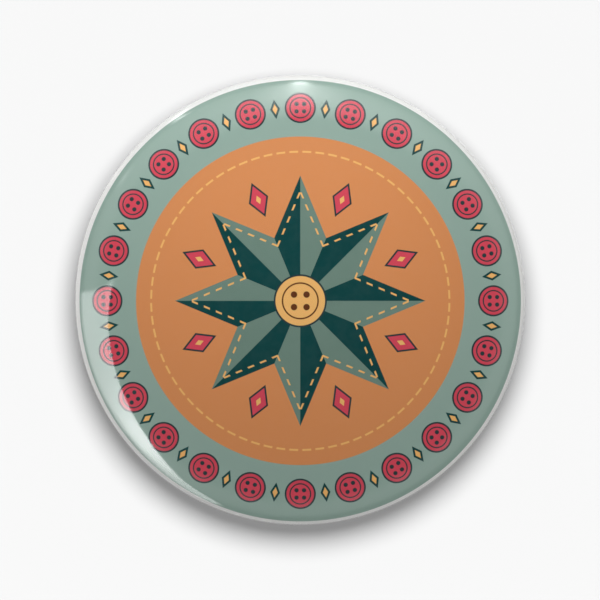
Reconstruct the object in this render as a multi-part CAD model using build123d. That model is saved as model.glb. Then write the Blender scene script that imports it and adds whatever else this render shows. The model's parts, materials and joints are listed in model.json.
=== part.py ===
from build123d import *
import os
from math import acos, asin, atan2, cos, degrees, radians, sin, sqrt

# Pin-back button badge. Lengths are millimetres and angles are degrees.
#
# Every piece is drawn as the badge lies in its closing die: face up, axis on Z, the crimped rim
# resting on z = 0, and the pin along X. The last step stands the badge up as it is worn, face
# towards -Y, with the centre of the rim plane as the origin.

# ---------------------------------------------------------------- driving sizes
outer_diameter = 57.2  # over the finished rim, film included

shell_thickness = 0.25  # tinplate front shell
paper_thickness = 0.14  # printed paper disc
film_thickness = 0.10  # clear polyester film
layer_gap = 0.02  # between shell, paper and film

crown_radius = 220.0  # gentle dome of the face
haunch_radius = 10.0  # where the face starts to turn down
shoulder_radius = 2.6  # where it turns into the side wall
turndown_width = 4.8  # from the crown's edge out to the side wall
wall_height = 0.4  # straight side wall
curl_radius = 0.95  # crimped rim, measured on the shell's outer side
hem_height = 0.5  # shell edge standing up inside the curl
tuck_gap = 0.12  # air between the shell's raw edge and the paper folded over it
tuck_height = 0.45  # paper and film tucked down behind the shell's edge

plate_thickness = 0.28  # tinplate back plate
plate_lift = 0.8  # from the folded layers up to the back plate
skirt_bend_radius = 0.7  # inside bend between the plate and its skirt
crimp_clearance = 0.05  # skirt to folded layers
curl_clearance = 0.08  # skirt edge to the inside of the curl
bead_radius = 1.0  # ring bead pressed into the plate, each of its four arcs
bead_turn = 40.0
bead_inset = 4.7  # from the skirt in to the bead's inner edge

wire_diameter = 0.9  # spring steel wire of the lock pin
wire_sink = 0.15  # wire centre below the plate's back surface
seat_clearance = 0.05  # wire to the metal it lies in
rim_clearance = 0.1  # wire to the rim plane
coil_inset = 9.5  # from the skirt in to the middle of the coil
coil_turns = 1.5
coil_gap = 0.08  # between neighbouring turns
coil_bed_clearance = 0.15
root_clearance = 0.05  # needle root to the end of the coil

crook_inset = 9.5  # from the skirt in to the plane of the safety catch
crook_bend_radius = 1.0
hook_turn = 100.0  # how far the catch curls over the needle
lip_overhang = 0.5  # from the catch's lip across to the needle's centre
catch_gap = 0.08  # needle to the catch's lip

needle_bow_radius = 110.0  # slight bow where the needle leaves the coil
needle_overrun = 2.5  # needle's point past the catch
needle_taper = 6.0
needle_point_radius = 0.04

channel_floor_radius = 0.35  # inside bend at the floor of the wire's channel
channel_mouth_radius = 0.2  # where the channel turns down out of the plate
bed_corner_radius = 0.8  # where the channel opens into the bed under the coil

bridge_x = 8.0  # each lanced bridge, either side of the middle
bridge_width = 3.0
bridge_turn = 50.0
bridge_foot_radius = 0.25

# ---------------------------------------------------------------- worked out from them
quarter_turn = 90.0
half_turn = 2 * quarter_turn
wire_radius = wire_diameter / 2

paper_offset = layer_gap  # layers stand off the shell's outer surface
film_offset = paper_offset + paper_thickness + layer_gap
stack = film_offset + film_thickness
shell_radius = outer_diameter / 2 - stack

crown_turn = degrees(asin((shell_radius - turndown_width) / crown_radius))
haunch_reach = turndown_width + haunch_radius * sin(radians(crown_turn)) - shoulder_radius
haunch_end = degrees(asin(haunch_reach / (haunch_radius - shoulder_radius)))
face_drop = (
    crown_radius * (1 - cos(radians(crown_turn)))
    + haunch_radius * (cos(radians(crown_turn)) - cos(radians(haunch_end)))
    + shoulder_radius * cos(radians(haunch_end))
)
curl_z = curl_radius + stack  # centre of the curl
apex_z = curl_z + wall_height + face_drop  # top of the shell's face

hem_r = shell_radius - 2 * curl_radius  # side of the hem that faces the badge's axis
fold_z = curl_z + hem_height  # centre of the fold over the raw edge
fold_top = fold_z + shell_thickness / 2 + stack
skirt_r = hem_r + shell_thickness + stack + crimp_clearance  # inside of the skirt
plate_z = fold_top + plate_lift  # back surface of the plate
curl_room = curl_radius - shell_thickness - curl_clearance
skirt_end = curl_z - sqrt(curl_room**2 - (shell_radius - curl_radius - skirt_r) ** 2)

base_z = plate_z + wire_sink  # wire lying in its channel
crest_z = rim_clearance + wire_radius  # wire where it stands highest off the plate
bed_z = base_z + wire_radius + seat_clearance  # floor of the pressed channel
coil_radius = (base_z - crest_z) / 2
coil_z = (base_z + crest_z) / 2
coil_pitch = wire_diameter + coil_gap
coil_lead = coil_pitch * coil_turns
coil_x = coil_inset - skirt_r
crook_x = skirt_r - crook_inset
needle_root = Vector(coil_x, coil_lead, crest_z)

hook_radius = (coil_lead - lip_overhang) / (1 - cos(radians(hook_turn)))
hook_z = crest_z + hook_radius
lip_z = hook_z - hook_radius * sin(radians(hook_turn))
point_drop = wire_radius - needle_point_radius
taper_radius = (needle_taper**2 + point_drop**2) / (2 * point_drop)
taper_used = needle_taper - needle_overrun
needle_radius_at_catch = wire_radius - (taper_radius - sqrt(taper_radius**2 - taper_used**2))
catch_reach = wire_radius + needle_radius_at_catch + catch_gap
needle_drop = lip_z + sqrt(catch_reach**2 - lip_overhang**2) - crest_z
needle_run = crook_x - coil_x
needle_straight = sqrt(needle_run**2 + needle_drop**2 - 2 * needle_bow_radius * needle_drop)
needle_fall = degrees(
    atan2(needle_bow_radius, needle_straight) - atan2(needle_bow_radius - needle_drop, needle_run)
)


# ---------------------------------------------------------------- tools for sheet and wire
def trace(legs, start, offset=0.0):
    """Follow straight and curved legs along +x from start, offset to the left of the way ahead.

    A leg is (length,) or (radius, turn), and a positive turn goes left.
    """
    ahead = Vector(1, 0)
    point = Vector(*start) + ahead.rotate(Axis.Z, quarter_turn) * offset
    edges = []
    for leg in legs:
        if len(leg) == 1:
            edges.append(Line(point, point + ahead * leg[0]))
        else:
            radius, turn = leg
            side = 1 if turn > 0 else -1
            edges.append(JernArc(point, ahead, radius - side * offset, turn))
            ahead = ahead.rotate(Axis.Z, turn)
        point = edges[-1] @ 1
    return edges


def strip(legs, start, near, far):
    """Cross-section of a sheet that follows the legs, from one offset to another."""
    first = trace(legs, start, near)
    second = trace(legs, start, far)
    ends = [Line(first[0] @ 0, second[0] @ 0), Line(first[-1] @ 1, second[-1] @ 1)]
    return make_face(Wire(first + second + ends))


def spun(section):
    """Turn a cross-section, drawn as (distance from the axis, height), about the badge's axis."""
    return revolve(Plane.XZ * section, Axis.Z)


def drawn_wire(edges):
    """Round wire along edges that meet smoothly."""
    pieces = [
        sweep(Plane(origin=edge @ 0, z_dir=edge % 0) * Circle(wire_radius), path=edge) for edge in edges
    ]
    return pieces[0].fuse(*pieces[1:]) if len(pieces) > 1 else pieces[0]


def ball(center, radius=wire_radius):
    return Pos(*center) * Sphere(radius)


# ---------------------------------------------------------------- face: shell, paper, film
face_legs = [
    (crown_radius, -crown_turn),
    (haunch_radius, crown_turn - haunch_end),
    (shoulder_radius, haunch_end - quarter_turn),
    (wall_height,),
    (curl_radius, -half_turn),
    (hem_height,),
]
tuck_legs = [
    (shell_thickness / 2, -half_turn),
    (tuck_height,),
]
apex = (0, apex_z)


def make_front_shell():
    """Domed tinplate shell, its rim curled in and its raw edge left standing as a hem."""
    bare_edge = face_legs[:-1] + [(hem_height - tuck_gap,)]
    return spun(strip(bare_edge, apex, -shell_thickness, 0))


def make_printed_paper():
    """Paper disc pressed over the shell, round the curl and down behind the raw edge."""
    return spun(strip(face_legs + tuck_legs, apex, paper_offset, paper_offset + paper_thickness))


def make_clear_film():
    """Clear film over the paper, folded with it."""
    return spun(strip(face_legs + tuck_legs, apex, film_offset, film_offset + film_thickness))


# ---------------------------------------------------------------- back plate
def make_plate_blank():
    """Flat disc with a ring bead and a skirt that the curl traps."""
    bead_start = skirt_r - bead_inset
    bead_width = 4 * bead_radius * sin(radians(bead_turn))
    legs = [
        (bead_start,),
        (bead_radius, bead_turn),
        (bead_radius, -2 * bead_turn),
        (bead_radius, bead_turn),
        (bead_inset - bead_width - skirt_bend_radius,),
        (skirt_bend_radius, -quarter_turn),
        (plate_z - skirt_bend_radius - skirt_end,),
    ]
    return spun(strip(legs, (0, plate_z), 0, plate_thickness))


def wire_bed(grow):
    """Plug that fills the wire's channel and the wider bed under the coil, grown all round."""
    half = wire_radius + seat_clearance
    sunk = coil_z - plate_z
    coil_half = sqrt((coil_radius + wire_radius) ** 2 - sunk**2) + coil_bed_clearance
    bed_width = coil_lead + 2 * half
    channel = Pos(coil_x, 0) * Rectangle(crook_x - coil_x, 2 * half, align=(Align.MIN, Align.CENTER))
    channel += Pos(crook_x, 0) * Circle(half)
    bed = Pos(coil_x, coil_lead / 2) * RectangleRounded(2 * coil_half, bed_width, half)
    outline = channel + bed
    inner_corner = outline.vertices().sort_by_distance((coil_x + coil_half, half))[0]
    outline = fillet(inner_corner, bed_corner_radius)
    if grow:
        outline = offset(outline, grow)
    plug = extrude(outline, bed_z - plate_z + grow)
    floor_edges = plug.faces().sort_by(Axis.Z)[-1].edges()
    return Pos(0, 0, plate_z) * fillet(floor_edges, channel_floor_radius + grow)


def bridge_section():
    """Half of a lanced bridge, from over the wire down to the plate, drawn as (y, height)."""
    over_wire = wire_radius + seat_clearance
    foot = bridge_foot_radius + plate_thickness
    rise = over_wire - wire_sink + plate_thickness
    curved = (over_wire + foot) * (1 - cos(radians(bridge_turn)))
    slope = (rise - curved) / sin(radians(bridge_turn))
    legs = [(over_wire, -bridge_turn), (slope,), (foot, bridge_turn)]
    reach = (over_wire + foot) * sin(radians(bridge_turn)) + slope * cos(radians(bridge_turn))
    return strip(legs, (0, over_wire - wire_sink), 0, plate_thickness), reach


def press_wire_bed(plate):
    """Press the wire's channel into the plate and roll its mouth."""
    plate = plate + wire_bed(plate_thickness) - wire_bed(0)
    broad_sides = plate.faces().filter_by(GeomType.PLANE).sort_by(SortBy.AREA)[-2:]
    back = broad_sides.sort_by(Axis.Z)[0]
    return fillet(back.inner_wires().edges(), channel_mouth_radius)


def make_back_plate():
    plate = press_wire_bed(make_plate_blank())
    section, reach = bridge_section()
    lying = Plane(origin=(0, 0, plate_z), x_dir=(0, 1, 0), z_dir=(-1, 0, 0))
    half_bridge = Pos(bridge_width / 2, 0, 0) * extrude(lying * section, bridge_width)
    bridge = half_bridge + mirror(half_bridge, about=Plane.XZ)
    pressed_depth = bed_z - plate_z + plate_thickness
    window = Pos(0, 0, plate_z) * Box(bridge_width, 2 * reach, 3 * pressed_depth)
    for side in (-1, 1):
        plate -= Pos(side * bridge_x, 0, 0) * window
        plate += Pos(side * bridge_x, 0, 0) * bridge
    return plate


# ---------------------------------------------------------------- lock pin, one wire in three nodes
def make_pin_coil():
    """Spring coil at the pin's closed end, wound from the base wire up to the needle's root."""
    winding = Plane(origin=(coil_x, 0, coil_z), x_dir=(0, 0, 1), z_dir=(0, 1, 0))
    helix = winding * Helix(coil_pitch, coil_lead, coil_radius, lefthand=True)
    section = Plane(origin=helix @ 0, z_dir=helix % 0) * Circle(wire_radius)
    coil = sweep(section, path=helix, is_frenet=True)
    coil += ball((coil_x, 0, base_z))
    return coil - ball(needle_root, wire_radius + root_clearance)


def make_pin_base_wire(coil):
    """Straight wire in the plate's channel, turned up and curled over into the safety catch."""
    bend_start = crook_x - crook_bend_radius
    leg = Line((coil_x, 0, base_z), (bend_start, 0, base_z))
    upright = Plane(origin=(0, 0, 0), x_dir=(1, 0, 0), z_dir=(0, -1, 0))
    bend = upright * JernArc((bend_start, base_z), (1, 0), crook_bend_radius, -quarter_turn)
    riser = Line(bend @ 1, (crook_x, 0, hook_z))
    across = Plane(origin=(crook_x, 0, 0), x_dir=(0, 1, 0), z_dir=(1, 0, 0))
    hook = across * JernArc((0, hook_z), (0, -1), hook_radius, hook_turn)
    return drawn_wire([leg, bend, riser, hook]) + ball(hook @ 1) - coil


def make_pin_needle():
    """Needle: rounded root on the coil, a slight bow, a straight shank and a ground point."""
    upright = Plane(origin=(0, needle_root.Y, 0), x_dir=(1, 0, 0), z_dir=(0, -1, 0))
    bow = upright * JernArc((needle_root.X, needle_root.Z), (1, 0), needle_bow_radius, needle_fall)
    shank_start = bow @ 1
    tip_x = crook_x + needle_overrun
    shank_length = (tip_x - shank_start.X) / cos(radians(needle_fall)) - needle_taper
    taper_turn = degrees(acos(1 - point_drop / taper_radius))
    outline = trace([(shank_length,), (taper_radius, -taper_turn)], (0, wire_radius))
    point = outline[-1] @ 1
    section = make_face(
        Wire(
            [
                Line((0, 0), (0, wire_radius)),
                *outline,
                Line(point, (point.X, 0)),
                Line((point.X, 0), (0, 0)),
            ]
        )
    )
    along = Plane(origin=shank_start, x_dir=bow % 1, z_dir=(0, 1, 0))
    shank = along * revolve(section, Axis.X)
    return drawn_wire([bow]) + ball(needle_root) + shank


# ---------------------------------------------------------------- write the parts
pin_coil = make_pin_coil()
nodes = {
    "clear_film": make_clear_film(),
    "printed_paper": make_printed_paper(),
    "front_shell": make_front_shell(),
    "back_plate": make_back_plate(),
    "pin_base_wire": make_pin_base_wire(pin_coil),
    "pin_coil": pin_coil,
    "pin_needle": make_pin_needle(),
}

as_worn = Rotation(90, 0, 0)
os.makedirs("parts", exist_ok=True)
for name, shape in nodes.items():
    export_step(as_worn * shape, f"parts/{name}.step")
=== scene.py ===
import json
from math import asin, ceil, cos, degrees, pi, radians, sin, sqrt, tan

import bmesh
import bpy
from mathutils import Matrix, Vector


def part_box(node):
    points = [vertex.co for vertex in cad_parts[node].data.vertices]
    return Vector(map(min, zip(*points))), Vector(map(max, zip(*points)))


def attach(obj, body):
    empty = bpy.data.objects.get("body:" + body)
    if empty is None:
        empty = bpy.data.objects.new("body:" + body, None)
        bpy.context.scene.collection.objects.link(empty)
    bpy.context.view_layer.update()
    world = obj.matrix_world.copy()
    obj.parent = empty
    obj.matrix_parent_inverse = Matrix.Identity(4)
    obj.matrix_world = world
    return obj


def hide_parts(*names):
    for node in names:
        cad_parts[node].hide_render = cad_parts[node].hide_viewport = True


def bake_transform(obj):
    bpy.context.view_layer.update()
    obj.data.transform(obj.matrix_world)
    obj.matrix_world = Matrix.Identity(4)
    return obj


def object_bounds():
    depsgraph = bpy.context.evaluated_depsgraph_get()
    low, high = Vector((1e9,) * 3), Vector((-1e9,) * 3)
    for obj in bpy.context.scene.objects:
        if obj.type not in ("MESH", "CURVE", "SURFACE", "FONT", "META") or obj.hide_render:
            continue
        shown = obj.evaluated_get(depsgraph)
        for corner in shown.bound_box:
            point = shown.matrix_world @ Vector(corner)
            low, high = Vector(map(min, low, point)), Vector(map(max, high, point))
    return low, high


# The badge stands upright: face towards -Y, up +Z, its axis on Y, the rim plane at y = 0.
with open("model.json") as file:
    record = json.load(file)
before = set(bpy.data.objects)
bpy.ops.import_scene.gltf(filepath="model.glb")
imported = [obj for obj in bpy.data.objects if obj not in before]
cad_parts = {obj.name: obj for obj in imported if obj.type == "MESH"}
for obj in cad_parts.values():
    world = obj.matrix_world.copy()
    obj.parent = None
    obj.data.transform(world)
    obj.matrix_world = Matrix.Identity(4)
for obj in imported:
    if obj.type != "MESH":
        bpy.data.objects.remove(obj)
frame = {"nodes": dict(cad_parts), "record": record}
nodes = frame["nodes"]
cad_low, cad_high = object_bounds()
MM = 0.001

# ---------------------------------------------------------------- sizes taken from the frame
badge_radius = cad_high.x
paper_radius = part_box("printed_paper")[1].x
shell_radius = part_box("front_shell")[1].x
apex_height = -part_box("front_shell")[0].y

# ---------------------------------------------------------------- sizes of the pressed layers
LAYER_GAP = 0.02 * MM
SHELL_THICKNESS = 0.25 * MM
CROWN_RADIUS = 220.0 * MM
HAUNCH_RADIUS = 10.0 * MM
SHOULDER_RADIUS = 2.6 * MM
TURNDOWN_WIDTH = 4.8 * MM
WALL_HEIGHT = 0.4 * MM
CURL_RADIUS = 0.95 * MM
HEM_HEIGHT = 0.5 * MM
TUCK_HEIGHT = 0.45 * MM

# ---------------------------------------------------------------- sizes of the lock pin's wire
WIRE_RADIUS = 0.45 * MM
CREST_Y = -0.55 * MM  # wire where it stands highest off the plate
BASE_Y = -3.085 * MM  # wire lying in the plate's channel
COIL_TURN = 540  # degrees
CROOK_BEND_RADIUS = 1.0 * MM
HOOK_TURN = 100
LIP_OVERHANG = 0.5 * MM
POINT_RADIUS = 0.04 * MM  # at the needle's tip

# ---------------------------------------------------------------- sizes of the print
print_radius = 0.9723 * badge_radius
disc_radius = 0.717 * badge_radius
OUTLINE_WIDTH = 0.22 * MM
PRINT_RIGHT = 0.036 * MM  # the print lies a little off the badge's axis
PRINT_DOWN = 0.104 * MM
PRINT_FRONT = -3 * MM  # only the side of the paper in front of this y is printed


# ---------------------------------------------------------------- a short hand for shader nodes
class Shader:
    """Builds one node tree. Values are sockets or plain numbers."""

    def __init__(self, owner):
        owner.use_nodes = True
        self.tree = owner.node_tree
        self.tree.nodes.clear()

    def node(self, kind, **settings):
        made = self.tree.nodes.new(kind)
        for key, value in settings.items():
            setattr(made, key, value)
        return made

    def put(self, socket, value):
        if isinstance(value, bpy.types.NodeSocket):
            self.tree.links.new(value, socket)
        else:
            socket.default_value = value

    def math(self, operation, *values):
        made = self.node("ShaderNodeMath", operation=operation)
        for socket, value in zip(made.inputs, values):
            self.put(socket, value)
        return made.outputs[0]

    def add(self, a, b):
        return self.math("ADD", a, b)

    def sub(self, a, b):
        return self.math("SUBTRACT", a, b)

    def mul(self, a, b):
        return self.math("MULTIPLY", a, b)

    def off(self, value):
        return self.math("ABSOLUTE", value)

    def most(self, a, b):
        return self.math("MAXIMUM", a, b)

    def size(self, a, b):
        """Length of the vector (a, b)."""
        return self.math("SQRT", self.add(self.mul(a, a), self.mul(b, b)))

    def sum(self, *terms):
        total = terms[0]
        for term in terms[1:]:
            total = self.add(total, term)
        return total

    def blob(self, *axes):
        """Bell-shaped patch: one (value, middle, spread) for each axis."""
        squares = [
            self.math("POWER", self.mul(self.sub(value, middle), 1 / spread), 2)
            for value, middle, spread in axes
        ]
        return self.math("EXPONENT", self.mul(self.sum(*squares), -0.5))

    def span(self, value, low, high, to_low=0.0, to_high=1.0, smooth=True):
        kind = "SMOOTHSTEP" if smooth else "LINEAR"
        made = self.node("ShaderNodeMapRange", interpolation_type=kind)
        for key, number in (
            ("Value", value),
            ("From Min", low),
            ("From Max", high),
            ("To Min", to_low),
            ("To Max", to_high),
        ):
            self.put(made.inputs[key], number)
        return made.outputs["Result"]

    def inside(self, distance, blur=0.03 * MM):
        """1 where the distance is below zero, over a printed edge's softness."""
        return self.span(distance, blur, -blur)

    def mix(self, factor, a, b):
        made = self.node("ShaderNodeMix", data_type="RGBA")
        self.put(made.inputs["Factor"], factor)
        self.put(made.inputs["A"], a)
        self.put(made.inputs["B"], b)
        return made.outputs["Result"]

    def split(self, vector):
        made = self.node("ShaderNodeSeparateXYZ")
        self.put(made.inputs[0], vector)
        return made.outputs

    def place(self):
        """The shaded point in the row frame, in metres, as a vector and as x, y and z."""
        where = self.node("ShaderNodeTexCoord").outputs["Object"]
        return (where, *self.split(where))

    def scaled(self, vector, x, y, z):
        made = self.node("ShaderNodeVectorMath", operation="MULTIPLY")
        self.put(made.inputs[0], vector)
        made.inputs[1].default_value = (x, y, z)
        return made.outputs[0]

    def noise(self, vector, scale, detail=2.0):
        made = self.node("ShaderNodeTexNoise")
        self.put(made.inputs["Vector"], vector)
        made.inputs["Scale"].default_value = scale
        made.inputs["Detail"].default_value = detail
        return made.outputs[0]

    def bump(self, height, distance, under=None):
        made = self.node("ShaderNodeBump")
        self.put(made.inputs["Height"], height)
        made.inputs["Distance"].default_value = distance
        made.inputs["Strength"].default_value = 1.0
        if under is not None:
            self.put(made.inputs["Normal"], under)
        return made.outputs[0]

    def blend(self, factor, a, b):
        made = self.node("ShaderNodeMixShader")
        for socket, value in zip(made.inputs, (factor, a, b)):
            self.put(socket, value)
        return made.outputs[0]

    def finish(self, surface, kind="ShaderNodeOutputMaterial"):
        self.put(self.node(kind).inputs["Surface"], surface)


def new_material(name):
    made = bpy.data.materials.new(name)
    return made, Shader(made)


def ink(red, green, blue):
    """Screen colour, 0 to 255, as the linear colour that a shader takes."""

    def linear(part):
        part /= 255
        return part / 12.92 if part <= 0.04045 else ((part + 0.055) / 1.055) ** 2.4

    return (linear(red), linear(green), linear(blue), 1.0)


# ---------------------------------------------------------------- the print
SAGE = ink(150, 175, 164)
ORANGE = ink(220, 145, 91)
TEAL = ink(8, 66, 66)
SLATE = ink(112, 138, 126)
CRIMSON = ink(216, 74, 92)
GOLD = ink(242, 187, 112)
BROWN = ink(98, 52, 24)
OUTLINE = ink(40, 58, 62)
PAPER = ink(242, 242, 240)
WHITE_INK = ink(255, 255, 255)


class Artwork:
    """Paints flat shapes one over another, in polar and folded coordinates about its middle."""

    def __init__(self, shader, x, z, ground):
        self.s = shader
        self.x, self.z = x, z
        self.distance = shader.size(x, z)
        self.angle = shader.math("ARCTAN2", z, x)
        self.look = ground

    def paint(self, color, shape):
        self.look = self.s.mix(self.s.inside(shape), self.look, color)

    def sector(self, count, start=0.0):
        """Fold the badge into equal sectors: along and across the middle of the nearest one."""
        step = 2 * pi / count
        turned = self.s.add(self.angle, step / 2 - start)
        folded = self.s.sub(self.s.math("FLOORED_MODULO", turned, step), step / 2)
        along = self.s.mul(self.distance, self.s.math("COSINE", folded))
        across = self.s.mul(self.distance, self.s.math("SINE", folded))
        return along, across

    def lozenge(self, along, across, middle, half_length, half_width):
        """Distance outside a lozenge that points at the badge's middle."""
        s = self.s
        lean = half_length / half_width
        reach = s.add(s.off(s.sub(along, middle)), s.mul(s.off(across), lean))
        return s.mul(s.sub(reach, half_length), 1 / sqrt(1 + lean * lean))

    def four(self, a, b, spacing):
        """Distance from the nearest of four points about the middle."""
        return self.s.size(self.s.sub(self.s.off(a), spacing), self.s.sub(self.s.off(b), spacing))


def draw_button(art, x, z, radius, groove, line, spacing, hole, face, mark):
    """Four-hole button about x = z = 0: outline, face, a fine groove round the face, and holes."""
    s = art.s
    distance = s.size(x, z)
    art.paint(OUTLINE, s.sub(distance, radius))
    art.paint(face, s.sub(distance, radius - OUTLINE_WIDTH))
    art.paint(mark, s.sub(s.off(s.sub(distance, groove)), line))
    art.paint(mark, s.sub(art.four(x, z, spacing), hole))


def draw_small_buttons(art, middle, count=24, radius=1.95 * MM):
    """Ring of buttons round the badge's axis, all drawn at once."""
    along, across = art.sector(count)
    local = art.s.sub(along, middle)
    groove, line, spacing, hole = 0.66 * radius, 0.08 * MM, 0.47 * MM, 0.27 * MM
    draw_button(art, local, across, radius, groove, line, spacing, hole, CRIMSON, OUTLINE)


def draw_middle_button(art, radius=3.3 * MM):
    """Larger button over the star's middle."""
    groove, line, spacing, hole = 0.67 * radius, 0.09 * MM, 0.78 * MM, 0.40 * MM
    draw_button(art, art.x, art.z, radius, groove, line, spacing, hole, GOLD, BROWN)


def draw_lozenges(art, count, start, middle, half_length, half_width, colors):
    """Ring of nested lozenges, each colour inside the last."""
    along, across = art.sector(count, start)
    shape = art.lozenge(along, across, middle, half_length, half_width)
    for color, inset in colors:
        art.paint(color, art.s.add(shape, inset))


def draw_star(art, points=8, reach=15.6 * MM, inset=0.75 * MM, stitch=1.5 * MM, clear=4.6 * MM):
    """Pieced quilt star, with stitches inside its edge that stop short of its middle."""
    s = art.s
    half_point = pi / 8  # half the angle of a point
    along, across = art.sector(points, pi / 2)
    over = s.sub(s.off(across), s.mul(s.sub(reach, along), tan(half_point)))
    edge = s.mul(over, cos(half_point))
    patch = s.mix(s.inside(across), TEAL, SLATE)
    art.paint(patch, edge)
    seam = s.sub(s.off(s.add(edge, inset)), 0.11 * MM)
    dash = s.mul(s.math("SINE", s.mul(along, 2 * pi / stitch)), 0.4 * MM)
    near_middle = s.sub(clear, along)
    art.paint(GOLD, s.most(s.most(seam, dash), near_middle))


def draw_stitches(art, radius, count, half_length, half_width):
    """Running stitch round the badge's axis."""
    s = art.s
    step = 2 * pi / count
    turned = s.sub(s.math("FLOORED_MODULO", art.angle, step), step / 2)
    run = s.sub(s.off(s.mul(turned, radius)), half_length)
    art.paint(GOLD, s.most(run, s.sub(s.off(s.sub(art.distance, radius)), half_width)))


def print_material():
    """Printed paper: the artwork, an unprinted edge, and fibre."""
    material, s = new_material("printed_paper")
    where, x, y, z = s.place()
    art = Artwork(s, s.sub(x, PRINT_RIGHT), s.add(z, PRINT_DOWN), SAGE)
    art.paint(ORANGE, s.sub(art.distance, disc_radius))
    middle = (print_radius + disc_radius) / 2
    draw_small_buttons(art, middle)
    small = ((TEAL, 0.0), (GOLD, 0.26 * MM))
    draw_lozenges(art, 24, pi / 24, middle, half_length=1.25 * MM, half_width=0.62 * MM, colors=small)
    draw_star(art)
    large = ((OUTLINE, 0.0), (CRIMSON, OUTLINE_WIDTH), (GOLD, 0.85 * MM))
    draw_lozenges(art, 8, pi / 8, 13.6 * MM, half_length=2.3 * MM, half_width=1.3 * MM, colors=large)
    draw_stitches(art, 18.6 * MM, count=72, half_length=0.55 * MM, half_width=0.12 * MM)
    draw_middle_button(art)

    printed = s.inside(s.sub(art.distance, print_radius))
    front = s.math("LESS_THAN", y, PRINT_FRONT)
    look = s.mix(s.mul(printed, front), PAPER, art.look)
    mottle = s.noise(where, 900, 3)
    look = s.mix(s.span(mottle, 0.3, 0.7, 0.0, 0.006), look, WHITE_INK)

    shader = s.node("ShaderNodeBsdfPrincipled")
    s.put(shader.inputs["Base Color"], look)
    shader.inputs["Roughness"].default_value = 0.6
    shader.inputs["Specular IOR Level"].default_value = 0.1
    s.put(shader.inputs["Normal"], pleats(s, y, art.angle))
    s.finish(shader.outputs[0])
    return material


def pleats(s, y, angle, depth=0.22 * MM):
    """Creases where the disc is gathered in round the curl, as a bumped normal."""
    around = s.node("ShaderNodeCombineXYZ")
    s.put(around.inputs[0], s.math("COSINE", angle))
    s.put(around.inputs[1], s.math("SINE", angle))
    crease = s.noise(around.outputs[0], 26, 1)
    gathered = s.span(y, -1.0 * MM, -0.2 * MM)
    return s.bump(s.mul(crease, gathered), depth)


FILM_INDEX = 1.62  # refractive index of polyester
MOST_SHINE = 0.35  # keeps the film's grazing edge free of speckle
FACE_SHINE = 0.14  # share of the shine that the flat of the face keeps
FACE_EDGE = (22.4 * MM, 23.6 * MM)  # where the flat ends and the turned-down edge starts


def film_material():
    """Clear film: it passes all light and adds a mirror image, stronger at a flat angle."""
    material, s = new_material("clear_film")
    where, x, y, z = s.place()
    clear = s.node("ShaderNodeBsdfTransparent")
    gloss = s.node("ShaderNodeBsdfAnisotropic")
    gloss.inputs["Roughness"].default_value = 0.03
    normal = pleats(s, y, s.math("ARCTAN2", z, x))
    normal = s.bump(s.noise(where, 260, 1), 0.0012 * MM, normal)
    s.put(gloss.inputs["Normal"], normal)
    bend = s.node("ShaderNodeFresnel")
    bend.inputs["IOR"].default_value = FILM_INDEX
    side = s.node("ShaderNodeNewGeometry").outputs["Backfacing"]
    strength = s.span(s.size(x, z), *FACE_EDGE, FACE_SHINE, 1)
    shine = s.math("MINIMUM", bend.outputs[0], MOST_SHINE)
    s.put(gloss.inputs["Color"], s.mul(s.mul(shine, strength), s.sub(1, side)))
    both = s.node("ShaderNodeAddShader")
    s.put(both.inputs[0], clear.outputs[0])
    s.put(both.inputs[1], gloss.outputs[0])
    s.finish(both.outputs[0])
    return material


def metal_material(name, color, roughness, grain, dent):
    """Bright metal with a grain drawn along x, faint clouding and shallow dents."""
    material, s = new_material(name)
    where = s.place()[0]
    drawn = s.noise(s.scaled(where, grain, 1, 1), 5000, 3)
    cloud = s.noise(where, 110, 4)
    dull = tuple(0.8 * part for part in color[:3]) + (1,)
    shader = s.node("ShaderNodeBsdfPrincipled")
    s.put(shader.inputs["Base Color"], s.mix(s.span(cloud, 0.35, 0.75, 0, 0.6), color, dull))
    shader.inputs["Metallic"].default_value = 1.0
    s.put(shader.inputs["Roughness"], s.span(drawn, 0.25, 0.75, 0.75 * roughness, 1.3 * roughness))
    normal = s.bump(s.noise(where, 70, 1), dent)
    s.put(shader.inputs["Normal"], s.bump(drawn, 0.0015 * MM, normal))
    s.finish(shader.outputs[0])
    return material


# ---------------------------------------------------------------- sheet layers
def offset_path(legs, start, offset):
    """Points along straight and curved legs, offset to the left of the way ahead.

    A leg is (length,) or (radius, turn in degrees), as the layers are pressed, and a positive turn
    goes left.
    """
    heading = 0.0
    point = Vector(start) + Vector((0, offset))
    points = [point]
    for leg in legs:
        if len(leg) == 1:
            point = point + leg[0] * Vector((cos(heading), sin(heading)))
            points.append(point)
            continue
        turn = radians(leg[1])
        side = 1 if turn > 0 else -1
        radius = leg[0] - side * offset
        center = point + side * radius * Vector((-sin(heading), cos(heading)))
        count = ceil(max(abs(turn) / radians(4), abs(turn) * radius / (0.8 * MM)))
        for step in range(1, count + 1):
            angle = heading + turn * step / count
            points.append(center - side * radius * Vector((-sin(angle), cos(angle))))
        heading += turn
        point = points[-1]
    return points


def lathe(name, outline, material, segments=288):
    """Surface turned about the badge's axis from an outline that starts and ends on it."""
    rings = []
    verts = []
    for radius, height in outline:
        count = segments if radius > 1e-7 else 1
        rings.append(range(len(verts), len(verts) + count))
        for step in range(count):
            angle = 2 * pi * step / segments
            verts.append((radius * cos(angle), -height, radius * sin(angle)))
    faces = []
    for inner, outer in zip(rings, rings[1:]):
        for step in range(segments):
            after = (step + 1) % segments
            corners = [inner[step % len(inner)], outer[step % len(outer)]]
            corners += [outer[after % len(outer)], inner[after % len(inner)]]
            faces.append(tuple(dict.fromkeys(corners)))
    return build(name, verts, faces, material)


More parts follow.
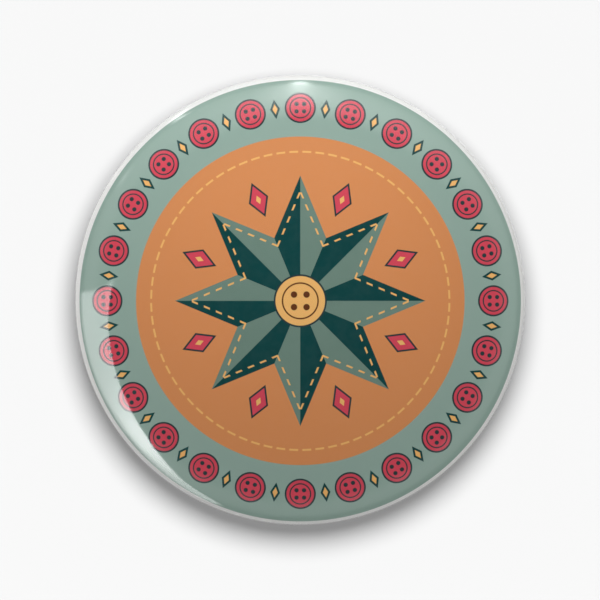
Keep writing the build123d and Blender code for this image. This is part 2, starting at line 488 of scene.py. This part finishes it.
def build(name, verts, faces, material):
    """Smooth mesh with its faces turned outwards."""
    mesh = bpy.data.meshes.new(name)
    mesh.from_pydata(verts, [], faces)
    work = bmesh.new()
    work.from_mesh(mesh)
    bmesh.ops.recalc_face_normals(work, faces=work.faces)
    work.to_mesh(mesh)
    work.free()
    mesh.shade_smooth()
    made = bpy.data.objects.new(name, mesh)
    bpy.context.scene.collection.objects.link(made)
    made.data.materials.append(material)
    return made


def layer_legs():
    """Legs of the shell's outer side, from the middle of the face to the tucked end."""
    crown_reach = shell_radius - TURNDOWN_WIDTH
    crown_sine = crown_reach / CROWN_RADIUS
    crown_turn = degrees(asin(crown_sine))
    haunch_reach = TURNDOWN_WIDTH + HAUNCH_RADIUS * crown_sine - SHOULDER_RADIUS
    haunch_end = degrees(asin(haunch_reach / (HAUNCH_RADIUS - SHOULDER_RADIUS)))
    return [
        (CROWN_RADIUS, -crown_turn),
        (HAUNCH_RADIUS, crown_turn - haunch_end),
        (SHOULDER_RADIUS, haunch_end - 90),
        (WALL_HEIGHT,),
        (CURL_RADIUS, -180),
        (HEM_HEIGHT,),
        (SHELL_THICKNESS / 2, -180),
        (TUCK_HEIGHT,),
    ]


def make_layer(node, inner, outer, material):
    """Sheet over the shell, between two radii, standing for its CAD node."""
    legs = layer_legs()
    start = (0, apex_height)
    near = offset_path(legs, start, inner - shell_radius)
    far = offset_path(legs, start, outer - shell_radius)
    made = lathe(node + ".sheet", far + near[::-1], material)
    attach(made, "badge")
    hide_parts(node)
    return made


# ---------------------------------------------------------------- wire
def arc(center, across, up, radius, start, end, step=6):
    """Points on an arc in the plane of two unit vectors."""
    count = ceil(abs(end - start) / step)
    angles = [radians(start + (end - start) * k / count) for k in range(count + 1)]
    return [center + radius * (cos(a) * across + sin(a) * up) for a in angles]


def tube(name, path, material, radius_at=None, sides=24):
    """Round wire along the path, with rounded ends."""
    caps = [radians(cap) for cap in (75, 60, 45, 30, 15)]
    path = [p for k, p in enumerate(path) if k == 0 or (p - path[k - 1]).length > 1e-7]
    radii = [radius_at(p) if radius_at else WIRE_RADIUS for p in path]
    ways = [(b - a).normalized() for a, b in zip(path, path[1:])]
    tangents = [ways[0]] + [(a + b).normalized() for a, b in zip(ways, ways[1:])] + [ways[-1]]
    side = tangents[0].orthogonal().normalized()
    rings = []
    for a in caps:
        rings.append((path[0] - tangents[0] * radii[0] * sin(a), tangents[0], radii[0] * cos(a)))
    rings += list(zip(path, tangents, radii))
    for a in reversed(caps):
        end = path[-1] + tangents[-1] * radii[-1] * sin(a)
        rings.append((end, tangents[-1], radii[-1] * cos(a)))
    verts = []
    for center, tangent, radius in rings:
        side = (side - tangent * side.dot(tangent)).normalized()
        other = tangent.cross(side)
        for k in range(sides):
            a = 2 * pi * k / sides
            verts.append(center + radius * (cos(a) * side + sin(a) * other))
    faces = [tuple(range(sides))[::-1], tuple(range(len(verts) - sides, len(verts)))]
    for ring in range(len(rings) - 1):
        for k in range(sides):
            after = (k + 1) % sides
            low, high = ring * sides, (ring + 1) * sides
            faces.append((low + k, low + after, high + after, high + k))
    return build(name, verts, faces, material)


X, Y, Z = Vector((1, 0, 0)), Vector((0, 1, 0)), Vector((0, 0, 1))
coil_radius = (CREST_Y - BASE_Y) / 2
coil_y = (CREST_Y + BASE_Y) / 2
needle_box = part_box("pin_needle")
needle_z = (needle_box[0].z + needle_box[1].z) / 2
coil_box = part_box("pin_coil")
coil_x = (coil_box[0].x + coil_box[1].x) / 2
crook_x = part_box("pin_base_wire")[1].x - WIRE_RADIUS


def coil_rise(turn, ease=60):
    """Share of the coil's lead at an angle along it, its pitch eased in and out."""
    slope = 1 / (COIL_TURN - ease)
    if turn < ease:
        return slope * turn * turn / (2 * ease)
    if turn > COIL_TURN - ease:
        return 1 - slope * (COIL_TURN - turn) ** 2 / (2 * ease)
    return slope * (turn - ease / 2)


def coil_path():
    """From the base wire, round behind and up to the needle's root."""
    points = []
    for turn in range(0, COIL_TURN + 1, 5):
        a = radians(turn)
        x = coil_x - coil_radius * sin(a)
        y = coil_y - coil_radius * cos(a)
        points.append(Vector((x, y, needle_z * coil_rise(turn))))
    return points


def base_path():
    """Straight in the channel, turned up, and curled over into the safety catch."""
    hook_radius = (needle_z - LIP_OVERHANG) / (1 - cos(radians(HOOK_TURN)))
    hook_y = CREST_Y - hook_radius
    bend = Vector((crook_x - CROOK_BEND_RADIUS, BASE_Y + CROOK_BEND_RADIUS, 0))
    hook = Vector((crook_x, hook_y, hook_radius))
    points = [Vector((coil_x, BASE_Y, 0))]
    points += arc(bend, X, Y, CROOK_BEND_RADIUS, -90, 0)
    points += arc(hook, Z, Y, hook_radius, 180, 180 - HOOK_TURN)
    return points


def needle_path():
    """Root, slight bow, straight shank and ground point; the shank is the record's mount."""
    root = Vector((coil_x, CREST_Y, needle_z))
    shank = next(m for m in frame["record"]["mounts"] if m["name"] == "needle_shank")
    way = Vector(shank["axis"])
    half = shank["dims"]["length_mm"] * MM / 2
    middle = Vector(shank["pos_m"])
    start, end = middle - way * half, middle + way * half
    bow_turn = -degrees(asin(way.y))
    bow_radius = (start.x - root.x) / sin(radians(bow_turn))
    points = arc(root - Y * bow_radius, Y, X, bow_radius, 0, bow_turn, 0.1)
    points += [start.lerp(end, k / 12) for k in range(1, 13)]
    tip = Vector((needle_box[1].x, end.y + way.y / way.x * (needle_box[1].x - end.x), needle_z))
    points += [end.lerp(tip, k / 16) for k in range(1, 17)]
    return points, end, tip


def make_lock_pin(material):
    base = tube("pin_base_wire.tube", base_path(), material)
    coil = tube("pin_coil.tube", coil_path(), material)
    points, taper_start, tip = needle_path()
    length = (tip - taper_start).length
    drop = WIRE_RADIUS - POINT_RADIUS
    ogive = (length * length + drop * drop) / (2 * drop)

    def radius_at(point):
        along = max(0.0, min(length, point.x - taper_start.x))
        return WIRE_RADIUS - ogive + sqrt(ogive * ogive - along * along)

    needle = tube("pin_needle.tube", points, material, radius_at)
    for made, node in ((base, "pin_base_wire"), (coil, "pin_coil"), (needle, "pin_needle")):
        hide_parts(node)
    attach(base, "badge")
    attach(coil, "badge")
    root = points[0]
    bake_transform(needle)
    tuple(root)
    return [base, coil, needle]


# ---------------------------------------------------------------- dress the badge
make_layer("printed_paper", shell_radius + LAYER_GAP, paper_radius, print_material())
make_layer("clear_film", paper_radius + LAYER_GAP, badge_radius, film_material())
tin = metal_material("tinplate", ink(212, 212, 209), roughness=0.27, grain=0.02, dent=0.05 * MM)
bare_metal = [nodes["front_shell"], nodes["back_plate"]]
for sheet in bare_metal:
    sheet.data.materials.clear()
    sheet.data.materials.append(tin)
steel = metal_material("spring_wire", ink(206, 203, 197), roughness=0.16, grain=0.1, dent=0.0)
bare_metal += make_lock_pin(steel)


# ---------------------------------------------------------------- backdrop and its own lamp
WHITE = 0.931  # the backdrop's level
BEYOND = 0.75  # level seen past the backdrop, from behind it
SHADE = 0.721  # share of the backdrop's level that the badge can shade
SHADE_REACH = (55 * MM, 100 * MM)  # that share fades out between these distances from the middle
WALL_GAP = 3.0 * MM  # from the rim plane back to the backdrop
WIDEST_AHEAD = 0.5 * MM  # from the curl's middle forward to where the badge is widest
wall_y = cad_high.y + WALL_GAP
rim_y = -CURL_RADIUS - WIDEST_AHEAD
LAMP_REACH = 21 * (wall_y - rim_y)  # from the backdrop to its lamp
LAMP_RADIUS = 32 * MM
LAMP_RIGHT = 3.8 * MM  # off the badge's axis
LAMP_UP = 29 * MM
LAMP_LEVEL = 500.0


def wall_material():
    """Dark wall, graded to level out its own strong lamp, with a glow for what the lamp leaves out.

    Only a camera in front of it sees it, so that it neither hides the back nor blocks light.
    """
    material, s = new_material("backdrop")
    _, x, _, z = s.place()
    # light of a round lamp, facing a wall, at a distance off the lamp's axis
    beside, above = s.sub(x, LAMP_RIGHT), s.sub(z, LAMP_UP)
    squared = s.add(s.math("POWER", beside, 2), s.math("POWER", above, 2))
    less = s.add(squared, LAMP_REACH**2 - LAMP_RADIUS**2)
    more = s.add(squared, LAMP_REACH**2 + LAMP_RADIUS**2)
    root = s.math("SQRT", s.sub(s.math("POWER", more, 2), s.mul(squared, 4 * LAMP_RADIUS**2)))
    share = s.mul(s.sub(1, s.math("DIVIDE", less, root)), 0.5)
    near = s.span(s.size(x, z), *SHADE_REACH, 1, 0)
    albedo = s.mul(s.math("DIVIDE", SHADE * WHITE / LAMP_LEVEL, share), near)
    gray = s.node("ShaderNodeCombineColor")
    for part in gray.inputs[:3]:
        s.put(part, albedo)
    lit = s.node("ShaderNodeBsdfDiffuse")
    s.put(lit.inputs[0], gray.outputs[0])
    glow = s.node("ShaderNodeEmission")
    s.put(glow.inputs[1], s.sub(WHITE, s.mul(near, SHADE * WHITE)))
    both = s.node("ShaderNodeAddShader")
    s.put(both.inputs[0], lit.outputs[0])
    s.put(both.inputs[1], glow.outputs[0])
    clear = s.node("ShaderNodeBsdfTransparent")
    rays = s.node("ShaderNodeLightPath").outputs["Is Camera Ray"]
    side = s.node("ShaderNodeNewGeometry").outputs["Backfacing"]
    s.finish(s.blend(s.mul(rays, s.sub(1, side)), clear.outputs[0], both.outputs[0]))
    return material


def make_wall(half_width=1.5):
    """Square backdrop behind the badge, facing it."""
    sides = ((-1, -1), (1, -1), (1, 1), (-1, 1))
    corners = [(x * half_width, wall_y, z * half_width) for x, z in sides]
    mesh = bpy.data.meshes.new("backdrop")
    mesh.from_pydata(corners, [], [(0, 1, 2, 3)])
    made = bpy.data.objects.new("backdrop", mesh)
    bpy.context.scene.collection.objects.link(made)
    made.data.materials.append(wall_material())
    return made


def lamp(name, place, target, width, height, radiance, shape="DISK", spread=180, only=None):
    """Softbox aimed at the target. Radiance is what it shows of itself without a grid in front.

    It lights every object, or only the listed ones, and neither the camera nor a mirror sees it.
    """
    data = bpy.data.lights.new(name, "AREA")
    data.shape = shape
    data.size = width
    data.size_y = height
    data.spread = radians(spread)
    data.energy = radiance * pi * width * height * (pi / 4 if shape == "DISK" else 1)
    made = bpy.data.objects.new(name, data)
    bpy.context.scene.collection.objects.link(made)
    made.location = place
    made.rotation_mode = "QUATERNION"
    made.rotation_quaternion = (Vector(target) - Vector(place)).to_track_quat("-Z", "Y")
    made.visible_camera = False
    made.visible_glossy = False
    if only:
        listed = bpy.data.collections.new(name + "_lights")
        for lit in only:
            listed.objects.link(lit)
        made.light_linking.receiver_collection = listed
    return made


def aim(distance, from_axis, around):
    """A place at that distance, so many degrees off the badge's axis, on that clock angle."""
    t, a = radians(from_axis), radians(around)
    return Vector((distance * sin(t) * cos(a), -distance * cos(t), distance * sin(t) * sin(a)))


wall = make_wall()
wall_place = Vector((LAMP_RIGHT, wall_y - LAMP_REACH, LAMP_UP))
wall_width = 2 * LAMP_RADIUS
lamp("wall_lamp", wall_place, wall_place + Y, wall_width, wall_width, LAMP_LEVEL, only=[wall])


# ---------------------------------------------------------------- the badge's own light
# Levels, where 1 is white. Directions are unit vectors: x right, z up and front to the viewer.
AROUND_LEVEL = 0.56  # a pale band round the viewer, and how much more it has higher up
AROUND_RISE = 0.08
BESIDE_SHARE = 0.1  # what is left of the band beside the badge and behind it
LEAST_LEVEL = 0.04
SOFTBOX_LEVEL = 3.9
SOFTBOX_HOT = 5.5  # what its hotter patch adds
SOFTBOX_EDGE = -0.54  # x of its inner edge
SOFTBOX_FLARE = 0.16  # how much further in that edge reaches at the top
SOFTBOX_FLARE_HEIGHT = 0.14  # in which the flare falls to a third
SOFTBOX_BOW = 0.23  # how much further in the edge reaches far down
SOFTBOX_BLUR = 0.02
SOFTBOX_TOP = (0.045, 0.02)  # z where it starts and where it is full
SOFTBOX_OUTER = (-0.66, -0.1)  # the same for its outer edge, by front plus half of x
HOT_TILT = radians(46)  # of the line across the hotter patch
SPOT_LEVEL = 9.6
GLOW_LEVEL = 3.0
HAZE_LEVEL = 1.45
GLINT_LEVEL = 5.6
FAINT_GLINT_LEVEL = 1.2
AMBIENT = 0.438  # all-round light, and what it gains per unit of direction
AMBIENT_FRONT = 0.12
AMBIENT_RIGHT = 0.055
AMBIENT_UP = 0.065
AMBIENT_TOP = 0.145  # more again above the level


def softbox(s, x, front, z):
    """Softbox at the left, its top edge level with the badge, with a hotter patch in its middle."""
    flare = s.mul(s.math("EXPONENT", s.mul(z, 1 / SOFTBOX_FLARE_HEIGHT)), -SOFTBOX_FLARE)
    bow = s.mul(s.math("POWER", z, 4), -SOFTBOX_BOW)
    edge = s.sum(x, -SOFTBOX_EDGE, flare, bow)
    inner = s.span(edge, SOFTBOX_BLUR, -SOFTBOX_BLUR)
    top = s.span(z, *SOFTBOX_TOP)
    outer = s.span(s.add(front, s.mul(x, 0.5)), *SOFTBOX_OUTER)
    across = s.sub(s.mul(x, cos(HOT_TILT)), s.mul(z, sin(HOT_TILT)))
    hot = s.blob((across, -0.02, 0.14), (front, 0.66, 0.24))
    level = s.add(SOFTBOX_LEVEL, s.mul(hot, SOFTBOX_HOT))
    for part in (inner, top, outer):
        level = s.mul(level, part)
    return level


def lamp_above(s, x, front, z):
    """Small lamp above, in its glow and a wide haze."""
    spot = s.mul(s.blob((x, 0.0, 0.027), (front, 0.33, 0.16)), SPOT_LEVEL)
    glow = s.mul(s.blob((x, 0.0, 0.075), (front, 0.6, 0.2)), GLOW_LEVEL)
    haze = s.mul(s.blob((x, 0.04, 0.25), (front, 0.8, 0.2)), HAZE_LEVEL)
    return s.mul(s.sum(spot, glow, haze), s.span(z, 0.1, 0.5))


def studio_reflections(s, x, front, z):
    """What glossy surfaces see, by direction: the brightness of a ray that leaves that way."""
    band = s.mul(s.span(front, 0.9, 0.65), s.span(front, 0.1, 0.6, BESIDE_SHARE, 1))
    base = s.mul(s.add(AROUND_LEVEL, s.mul(z, AROUND_RISE)), band)
    base = s.add(base, LEAST_LEVEL)
    # two small lamps at the upper left
    glint = s.mul(s.blob((x, -0.536, 0.03), (z, 0.816, 0.02)), GLINT_LEVEL)
    faint = s.mul(s.blob((x, -0.711, 0.03), (z, 0.492, 0.03)), FAINT_GLINT_LEVEL)
    return s.sum(base, softbox(s, x, front, z), lamp_above(s, x, front, z), glint, faint)


def light_world():
    """Pale surroundings for the badge: soft all-round light, and a studio for its reflections."""
    world = bpy.data.worlds.new("studio")
    bpy.context.scene.world = world
    s = Shader(world)
    x, y, z = s.split(s.node("ShaderNodeTexCoord").outputs["Generated"])
    front = s.mul(y, -1)
    ambient = s.sum(AMBIENT, s.mul(front, AMBIENT_FRONT), s.mul(x, AMBIENT_RIGHT))
    ambient = s.sum(ambient, s.mul(z, AMBIENT_UP), s.mul(s.most(z, 0), AMBIENT_TOP))
    rays = s.node("ShaderNodeLightPath")
    glossy = s.most(rays.outputs["Is Glossy Ray"], rays.outputs["Is Transmission Ray"])
    camera = rays.outputs["Is Camera Ray"]
    mirrored = studio_reflections(s, x, front, z)
    level = s.add(s.mul(ambient, s.sub(1, glossy)), s.mul(mirrored, glossy))
    level = s.add(s.mul(level, s.sub(1, camera)), s.mul(camera, BEYOND))
    sky = s.node("ShaderNodeBackground")
    sky.inputs["Color"].default_value = (1, 1, 1, 1)
    s.put(sky.inputs["Strength"], level)
    s.finish(sky.outputs[0], "ShaderNodeOutputWorld")


light_world()
key_target = Vector((-3 * MM, 0, 17 * MM))
key_place = key_target + aim(distance=0.173, from_axis=30, around=90)
lamp("key", key_place, key_target, 0.06, 0.044, radiance=0.46, shape="RECTANGLE", spread=20)
side_place = aim(distance=0.30, from_axis=127, around=180)
lamp("side", side_place, (0, 0, 0), 0.1, 0.1, radiance=12)
# pale room behind the badge, which only the bare metal is lit by and mirrors
room_place, room_target = (0.2, 0.4, 0), (0.2, 0, 0)
room = lamp("room", room_place, room_target, 1.2, 0.8, 0.62, "RECTANGLE", only=bare_metal)
room.visible_glossy = True


# ---------------------------------------------------------------- camera
def make_camera(share=0.7495):
    """Square on to the face, far enough for the badge to reach across that share of the frame."""
    data = bpy.data.cameras.new("camera")
    data.lens = 100
    data.sensor_width = 36
    made = bpy.data.objects.new("camera", data)
    bpy.context.scene.collection.objects.link(made)
    half_frame = badge_radius / share
    made.location = (0, rim_y - half_frame / (data.sensor_width / 2 / data.lens), 0)
    made.rotation_euler = (pi / 2, 0, 0)
    bpy.context.scene.camera = made


make_camera()
bpy.context.scene.view_settings.view_transform = "Standard"

bpy.context.view_layer.update()
